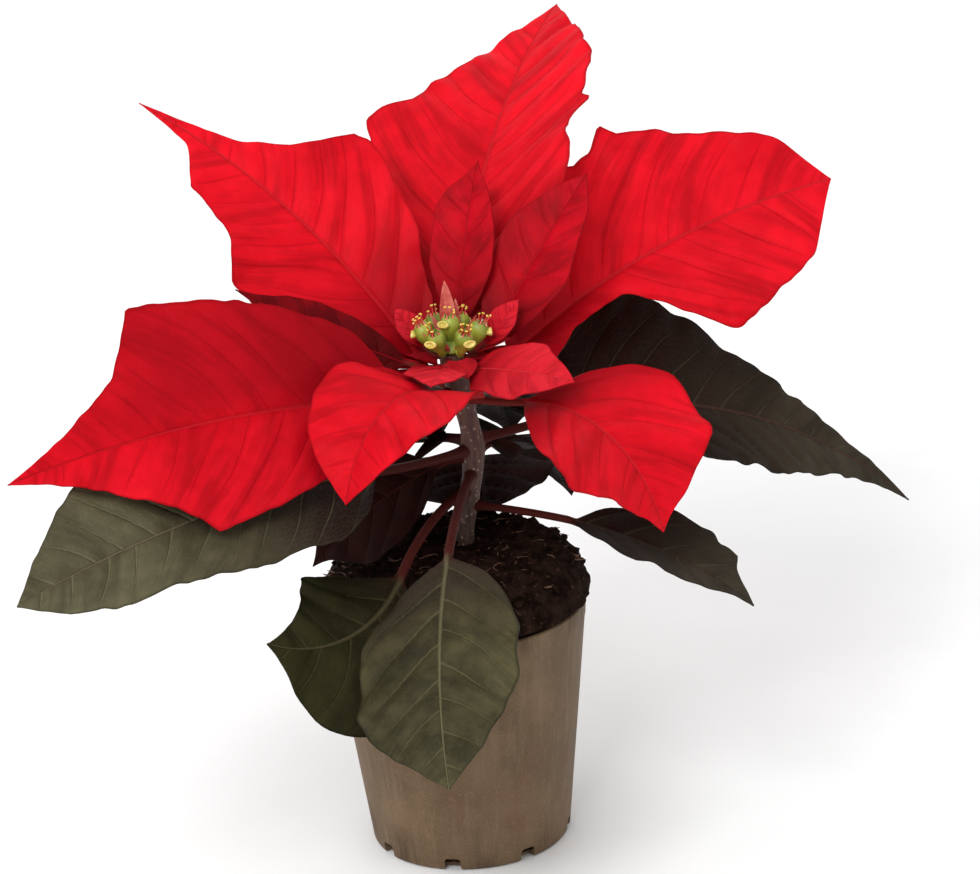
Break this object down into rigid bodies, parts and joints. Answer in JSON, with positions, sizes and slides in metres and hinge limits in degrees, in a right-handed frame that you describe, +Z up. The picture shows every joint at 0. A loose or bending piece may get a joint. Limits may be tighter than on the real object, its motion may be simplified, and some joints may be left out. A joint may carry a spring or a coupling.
{
  "type": "potted poinsettia",
  "caption": "Young poinsettia with broad red bracts over dark green leaves, in a small tapered brown plastic pot filled with dark peat.",
  "frame": {"origin": "centre of the pot's foot, on the surface it stands on", "axes": "+Z up along the pot's axis; -Y is the front that the picture shows; +X is to the right seen from the front"},
  "size_m": [0.2089, 0.1617, 0.1836],
  "materials": {
    "bract": "soft satin, fine veins, stands in for a plant bract",
    "leaf": "satin, paler veins, stands in for a plant leaf",
    "stem": "matte green wood with bark",
    "bloom": "satin, stands in for the small fleshy flower cups",
    "soil": "matte crumbly peat, stands in for soil",
    "pot": "thin satin brown plastic"
  },
  "bodies": {
    "root": {"bract_back": "bract", "bract_right": "bract", "bract_back_left": "bract", "bract_left": "bract", "bract_front_left": "bract", "bract_front_right": "bract", "bract_small_left": "bract", "bract_small_back": "bract", "bract_small_right": "bract", "bract_small_front": "bract", "bract_small_low": "bract", "bract_tiny_right": "bract", "bract_tiny_left": "bract", "leaf_left": "leaf", "leaf_front": "leaf", "leaf_front_left": "leaf", "leaf_right": "leaf", "leaf_front_right": "leaf", "leaf_under": "leaf", "leaf_back_right": "leaf", "leaf_back_left": "leaf", "leaf_back": "leaf", "leaf_back_high": "leaf", "pot": "pot", "soil": "soil", "stem": "stem", "bloom": "bloom"}
  },
  "joints": []
}
